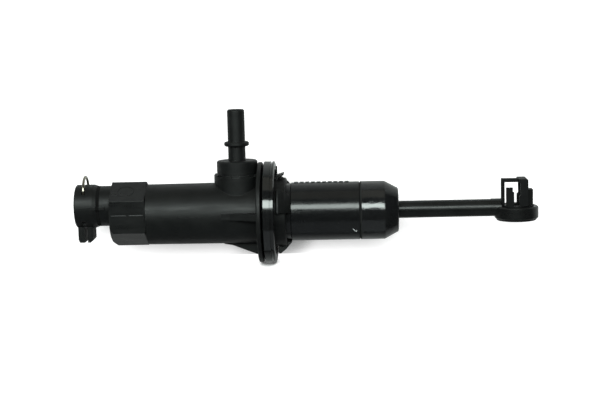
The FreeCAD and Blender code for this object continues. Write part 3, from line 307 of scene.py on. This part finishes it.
# Lighter plastic for the parting lines: a painted highlight along them
LIT_LINE_BLACK = moulded(
    "lit_line_black_plastic", dark=(0.03, 0.031, 0.031), light=(0.05, 0.051, 0.052),
    wear_and_highlight=(0.08, 0.081, 0.082), roughness=(0.4, 0.5), grain=(3000.0, 0.006 * MM), edge_radius=0.05 * MM)
SCUFFED = moulded(
    "scuffed_plastic", dark=(0.5, 0.51, 0.51), light=(0.75, 0.76, 0.77),
    wear_and_highlight=(0.8, 0.81, 0.82), roughness=(0.4, 0.5), grain=(4000.0, 0.006 * MM), edge_radius=0.05 * MM)
CLIP_BLACK = moulded(
    "clip_black_plastic", dark=(0.002, 0.0022, 0.0025), light=(0.004, 0.0042, 0.0045),
    wear_and_highlight=(0.01, 0.0105, 0.011), roughness=(0.45, 0.6), grain=(3000.0, 0.004 * MM), edge_radius=0.15 * MM,
    specular=0.2)
CUP_RUBBER = moulded(
    "cup_rubber", dark=(0.006, 0.006, 0.006), light=(0.012, 0.012, 0.012),
    wear_and_highlight=(0.03, 0.03, 0.03), roughness=(0.4, 0.5), grain=(2600.0, 0.006 * MM), edge_radius=0.15 * MM)
NATURAL_PLASTIC = moulded(
    "natural_plastic", dark=(0.52, 0.5, 0.43), light=(0.64, 0.62, 0.55),
    wear_and_highlight=(0.7, 0.69, 0.63), roughness=(0.35, 0.5), grain=(2400.0, 0.006 * MM), edge_radius=0.15 * MM)
BEARING_PLASTIC = moulded(
    "bearing_plastic", dark=(0.24, 0.16, 0.08), light=(0.33, 0.23, 0.12),
    wear_and_highlight=(0.4, 0.3, 0.18), roughness=(0.35, 0.5), grain=(2400.0, 0.005 * MM), edge_radius=0.15 * MM)

# Metals, each with its lines along the way that it was turned or drawn
PLUNGER_METAL = turned_metal(
    "plunger_metal", dark=(0.42, 0.43, 0.45), light=(0.56, 0.57, 0.59), roughness=(0.18, 0.34),
    line_stretch=(1.0, 0.04, 0.04), edge_radius=0.2 * MM)
PLAIN_STEEL = turned_metal(
    "plain_steel", dark=(0.42, 0.42, 0.43), light=(0.58, 0.58, 0.59), roughness=(0.25, 0.4),
    line_stretch=(1.0, 0.1, 0.1), edge_radius=0.15 * MM)
SPRING_STEEL = turned_metal(
    "spring_steel", dark=(0.2, 0.2, 0.22), light=(0.34, 0.34, 0.36), roughness=(0.28, 0.42),
    line_stretch=(0.2, 1.0, 1.0), edge_radius=0.1 * MM)
WIRE_STEEL = turned_metal(
    "wire_steel", dark=(0.26, 0.24, 0.19), light=(0.5, 0.47, 0.4), roughness=(0.12, 0.24),
    line_stretch=(0.3, 0.3, 0.05), edge_radius=0.1 * MM)

paint(SATIN_BLACK, "front_housing", "inlet_fitting")
paint(GLOSS_BLACK, "rear_housing")
paint(CAP_BLACK, "end_cap")
paint(SEAL_RUBBER, "bulkhead_seal")
paint(ROD_BLACK, "push_rod")
paint(CLIP_BLACK, "pedal_pin_clip")
paint(CUP_RUBBER, "primary_seal", "secondary_seal", "outlet_o_ring", "inlet_o_ring", "housing_o_ring")
paint(NATURAL_PLASTIC, "seal_spacer", "spring_seat", "ball_retainer")
paint(BEARING_PLASTIC, "guide_bush", "piston_guide_ring", "outlet_backup_ring")
paint(PLUNGER_METAL, "piston")
paint(PLAIN_STEEL, "stop_washer", "thrust_pad")
paint(SPRING_STEEL, "return_spring")
paint(WIRE_STEEL, "outlet_clip")


# Small moulded marks that the photograph shows
def added(name, mesh, material, body="cylinder", matrix=None):
    """Piece of the part: it rides a body and wears the given material."""
    mesh.materials.append(material)
    piece = bpy.data.objects.new(name, mesh)
    if matrix is not None:
        piece.matrix_world = matrix
    bpy.context.scene.collection.objects.link(piece)
    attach(piece, body)


def bevelled_box(name, low, high, bevel):
    """Box between two corners in millimetres, with a small round bevel."""
    mesh = bpy.data.meshes.new(name)
    shape = bmesh.new()
    bmesh.ops.create_cube(shape, size=1.0)
    start = Vector(low) * MM
    end = Vector(high) * MM
    bmesh.ops.scale(shape, vec=end - start, verts=shape.verts)
    bmesh.ops.translate(shape, vec=(start + end) / 2, verts=shape.verts)
    bmesh.ops.bevel(shape, geom=shape.edges, offset=bevel * MM, segments=2, affect="EDGES", profile=0.5)
    shape.to_mesh(mesh)
    shape.free()
    return mesh


def rounded_ring(name, radius, width, height, start, sweep):
    """Flat-bottomed raised line bent to an arc, in millimetres and degrees, in its own XY plane."""
    steps = 48
    shoulder = 0.4 * height
    profile = [(-width / 2, -height), (-width / 2, shoulder), (0.0, height), (width / 2, shoulder),
               (width / 2, -height)]
    points = []
    for index in range(steps + 1):
        angle = math.radians(start + sweep * index / steps)
        for out, up in profile:
            reach = (radius + out) * MM
            points.append((reach * math.cos(angle), reach * math.sin(angle), up * MM))
    side = len(profile)
    faces = [tuple(range(side)), tuple(reversed(range(steps * side, (steps + 1) * side)))]
    for index in range(steps):
        for corner in range(side):
            following = (corner + 1) % side
            faces.append((index * side + corner, (index + 1) * side + corner,
                          (index + 1) * side + following, index * side + following))
    mesh = bpy.data.meshes.new(name)
    mesh.from_pydata(points, [], faces)
    return mesh


def make_hexagon_marks():
    """Parting line in two lengths on the near flat, painted lighter as a highlight, and a plain moulded ring
    on the flat above it.
    """
    line_ends = {"front": (-75.2, -68.0), "back": (-66.9, -60.4)}
    line_low = 1.1
    line_high = 1.5
    proud = 0.18
    root = 0.3
    for end, (left, right) in line_ends.items():
        name = f"hexagon_parting_line_{end}"
        line = bevelled_box(name, (left, -HEXAGON_HALF - proud, line_low),
                            (right, -HEXAGON_HALF + root, line_high), bevel=0.14)
        added(name, line, LIT_LINE_BLACK)
    ring_x = -69.0
    tilt = Matrix.Rotation(math.radians(30), 4, "X")
    centre = tilt @ Vector((0.0, 0.0, HEXAGON_HALF)) + Vector((ring_x, 0.0, HEXAGON_AXIS_Z))
    ring = rounded_ring("hexagon_round_mark", radius=3.7, width=0.45, height=0.16, start=-60, sweep=250)
    added("hexagon_round_mark", ring, SATIN_BLACK,
          matrix=Matrix.Translation(centre * MM) @ tilt)


def make_barrel_bars():
    """Plain raised bars along the top of the barrel."""
    count = 10
    start = 8.6
    pitch = 2.6
    length = 1.9
    half_width = 1.5
    proud = 0.3
    root = 0.4
    for index in range(count):
        name = f"barrel_bar_{index + 1}"
        left = start + index * pitch
        bar = bevelled_box(name, (left, -half_width, BARREL_RADIUS - root),
                           (left + length, half_width, BARREL_RADIUS + proud), bevel=0.1)
        added(name, bar, GLOSS_BLACK)


def make_latch_nub():
    """Small upright stop behind the seal, at the root of the latch tongue."""
    nub = bevelled_box("latch_nub", low=(0.25, -0.9, 15.4), high=(0.95, 0.9, 21.4), bevel=0.15)
    added("latch_nub", nub, SATIN_BLACK)


def make_barrel_scuff(name, along, around, length, slant):
    """Light scratch on the barrel, at a place along X and at an angle above its near side, in degrees."""
    half_width = 0.17
    proud = 0.04
    root = 0.1
    mark = bevelled_box(name, (-length / 2, -half_width, -root), (length / 2, half_width, proud), bevel=0.03)
    lean = Matrix.Rotation(math.radians(90 - around), 4, "X")
    seat = Matrix.Translation((along * MM, 0, 0)) @ lean @ Matrix.Translation((0, 0, BARREL_RADIUS * MM))
    added(name, mark, SCUFFED, matrix=seat @ Matrix.Rotation(math.radians(slant), 4, "Z"))


def make_rod_root():
    """Web that carries the rod's top line on to the pin clip, and the thick near post of the clip."""
    web = bevelled_box("rod_root_web", low=(99.0, -1.6, 0.0), high=(CAGE_LEFT_X, 1.6, 4.1), bevel=0.5)
    added("rod_root_web", web, ROD_BLACK, "rod")
    post = bevelled_box("cage_near_post", low=(CAGE_LEFT_X - 0.4, -2.1, EYE_TOP_Z),
                        high=(CAGE_LEFT_X + 1.1, 2.1, CAGE_TOP_Z - 0.05), bevel=0.45)
    added("cage_near_post", post, CLIP_BLACK, "rod")


make_hexagon_marks()
make_barrel_bars()
make_latch_nub()
make_barrel_scuff("barrel_scuff_long", along=36.2, around=-35.0, length=1.9, slant=-50)
make_barrel_scuff("barrel_scuff_short", along=37.1, around=-37.0, length=1.2, slant=75)
make_rod_root()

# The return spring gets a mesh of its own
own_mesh(nodes["return_spring"])


# Stage: a pale floor under the part and a sheet of paper close behind it
def falling_off(tree, place, half_height):
    """1 at the sheet's middle line and half at half_height above or below it."""
    parts = tree.nodes.new("ShaderNodeSeparateXYZ")
    link(tree, place, parts.inputs[0])
    height = math_node(tree, "DIVIDE", math_node(tree, "ABSOLUTE", parts.outputs["Y"]), half_height)
    return math_node(tree, "DIVIDE", 1.0, math_node(tree, "ADD", height, 1.0))


def openness(tree, reach, sky):
    """1 where nothing within reach covers a spot's side towards the sky, and 0 where all is covered."""
    opening = tree.nodes.new("ShaderNodeAmbientOcclusion")
    opening.samples = SHADE_SAMPLES
    opening.inputs["Distance"].default_value = reach
    skyward = tree.nodes.new("ShaderNodeCombineXYZ")
    for socket, given in zip(skyward.inputs, sky):
        socket.default_value = given
    link(tree, skyward.outputs[0], opening.inputs["Normal"])
    return opening.outputs["AO"]


def mirrored_rays(tree, path):
    """1 for what the part mirrors or lets through."""
    return math_node(tree, "MAXIMUM", path.outputs["Is Glossy Ray"], path.outputs["Is Transmission Ray"])


def clear_from_behind(tree, surface):
    """The surface on the sheet's front, and nothing on its back."""
    clear = tree.nodes.new("ShaderNodeBsdfTransparent")
    geometry = tree.nodes.new("ShaderNodeNewGeometry")
    choice = tree.nodes.new("ShaderNodeMixShader")
    link(tree, geometry.outputs["Backfacing"], choice.inputs[0])
    link(tree, surface, choice.inputs[1])
    link(tree, clear.outputs[0], choice.inputs[2])
    return choice.outputs[0]


def stage_material(name, shade, half_height=None, one_sided=False):
    """White that is lit and shaded, with a glow for the camera that fades close to the part.

    The part mirrors a weaker glow. With a half_height, the lit white and that glow fall off with height.
    """
    material, tree, output = material_with(name)
    place = tree.nodes.new("ShaderNodeTexCoord").outputs["Object"]
    path = tree.nodes.new("ShaderNodeLightPath")
    mirrored = mirrored_rays(tree, path)
    tint = mixed(tree, noise(tree, place, STAGE_MOTTLE), PAPER_WHITE, PAPER_STAIN)
    if half_height is not None:
        fade = falling_off(tree, place, half_height)
        tint = mixed(tree, fade, BLACK, tint)
        mirrored = math_node(tree, "MULTIPLY", mirrored, fade)
    diffuse = tree.nodes.new("ShaderNodeBsdfDiffuse")
    link(tree, tint, diffuse.inputs["Color"])
    seen = math_node(tree, "MAXIMUM", math_node(tree, "MULTIPLY", mirrored, MIRRORED_GLOW),
                     path.outputs["Is Camera Ray"])
    shine = spread(tree, openness(tree, shade["reach"], shade["sky"]), SHADED_GLOW, PAPER_GLOW,
                   start=shade["closed"], end=shade["clear"])
    glow = tree.nodes.new("ShaderNodeEmission")
    link(tree, math_node(tree, "MULTIPLY", seen, shine), glow.inputs["Strength"])
    both = tree.nodes.new("ShaderNodeAddShader")
    link(tree, diffuse.outputs[0], both.inputs[0])
    link(tree, glow.outputs[0], both.inputs[1])
    surface = both.outputs[0]
    if one_sided:
        surface = clear_from_behind(tree, surface)
    link(tree, surface, output.inputs["Surface"])
    return material


def stage_sheet(name, matrix, material):
    half = STAGE_SIZE / 2
    corners = [(-half, -half, 0), (half, -half, 0), (half, half, 0), (-half, half, 0)]
    mesh = bpy.data.meshes.new(name)
    mesh.from_pydata(corners, [], [(0, 1, 2, 3)])
    mesh.materials.append(material)
    sheet = bpy.data.objects.new(name, mesh)
    sheet.matrix_world = matrix
    bpy.context.scene.collection.objects.link(sheet)
    return sheet


def make_floor():
    """Just under the part. It isn't mirrored, and the fill below it shines through."""
    material = stage_material("pale_floor", FLOOR_SHADE)
    lowest = cad_box[0][2] - STAGE_GAP
    floor = stage_sheet("floor", Matrix.Translation((0, 0, lowest)), material)
    floor.visible_glossy = False
    floor.visible_shadow = False


def make_paper():
    """Just behind the part, and seen from the front only. The part mirrors it, but it lights nothing."""
    material = stage_material("white_paper", PAPER_SHADE, half_height=PAPER_HALF_HEIGHT, one_sided=True)
    back = cad_box[1][1] + STAGE_GAP
    upright = Matrix.Translation((0, back, 0)) @ Matrix.Rotation(math.radians(90), 4, "X")
    paper = stage_sheet("paper", upright, material)
    paper.visible_diffuse = False
    paper.visible_transmission = False
    paper.visible_shadow = False


def make_world():
    """White to the camera, dim as light on the part, and dimmer again in its reflections."""
    world = bpy.data.worlds.new("studio")
    world.use_nodes = True
    tree = world.node_tree
    background = tree.nodes["Background"]
    path = tree.nodes.new("ShaderNodeLightPath")
    level = math_node(tree, "MULTIPLY", mirrored_rays(tree, path), MIRRORED_WORLD - AMBIENT)
    level = math_node(tree, "ADD", level, AMBIENT)
    level = math_node(tree, "MAXIMUM", level, path.outputs["Is Camera Ray"])
    background.inputs["Color"].default_value = (1, 1, 1, 1)
    link(tree, level, background.inputs["Strength"])
    bpy.context.scene.world = world


def place_round(target, azimuth, elevation, distance):
    """Point at that bearing from the target; azimuth 0 is at the front, 90 to the right."""
    across = math.radians(azimuth)
    up = math.radians(elevation)
    way = Vector((math.sin(across) * math.cos(up), -math.cos(across) * math.cos(up), math.sin(up)))
    return target + way * distance


def facing(location, target):
    turn = (target - location).to_track_quat("-Z", "Y")
    return Matrix.Translation(location) @ turn.to_matrix().to_4x4()


def softbox(name, azimuth, elevation, distance, width, height, radiance, tint=(1.0, 1.0, 1.0)):
    """Rectangular lamp that faces the middle of the part, in metres and degrees."""
    lamp = bpy.data.lights.new(name, "AREA")
    lamp.color = tint
    lamp.shape = "RECTANGLE"
    lamp.size = width
    lamp.size_y = height
    lamp.energy = radiance * math.pi * width * height
    box = bpy.data.objects.new(name, lamp)
    box.matrix_world = facing(place_round(LIGHT_TARGET, azimuth, elevation, distance), LIGHT_TARGET)
    bpy.context.scene.collection.objects.link(box)


def make_camera():
    data = bpy.data.cameras.new("camera")
    data.lens = CAMERA_LENS
    data.sensor_width = CAMERA_SENSOR
    camera = bpy.data.objects.new("camera", data)
    location = place_round(CAMERA_TARGET, CAMERA_AZIMUTH, CAMERA_ELEVATION, CAMERA_DISTANCE)
    roll = Matrix.Rotation(math.radians(-CAMERA_ROLL), 4, "Z")
    camera.matrix_world = facing(location, CAMERA_TARGET) @ roll
    bpy.context.scene.collection.objects.link(camera)
    bpy.context.scene.camera = camera


make_floor()
make_paper()
make_world()
softbox("front_strip", azimuth=-8, elevation=25, distance=0.8, width=1.0, height=0.24, radiance=9.4,
        tint=(0.9, 1.0, 0.96))
softbox("overhead", azimuth=0, elevation=80, distance=0.7, width=0.9, height=0.6, radiance=0.26,
        tint=(1.0, 1.0, 0.86))
softbox("low_fill", azimuth=0, elevation=-62, distance=0.8, width=1.0, height=0.8, radiance=0.18,
        tint=(0.88, 0.97, 1.0))
softbox("back_strip", azimuth=180, elevation=35, distance=0.9, width=1.0, height=0.2, radiance=1.5)
make_camera()
bpy.context.scene.view_settings.view_transform = "Standard"
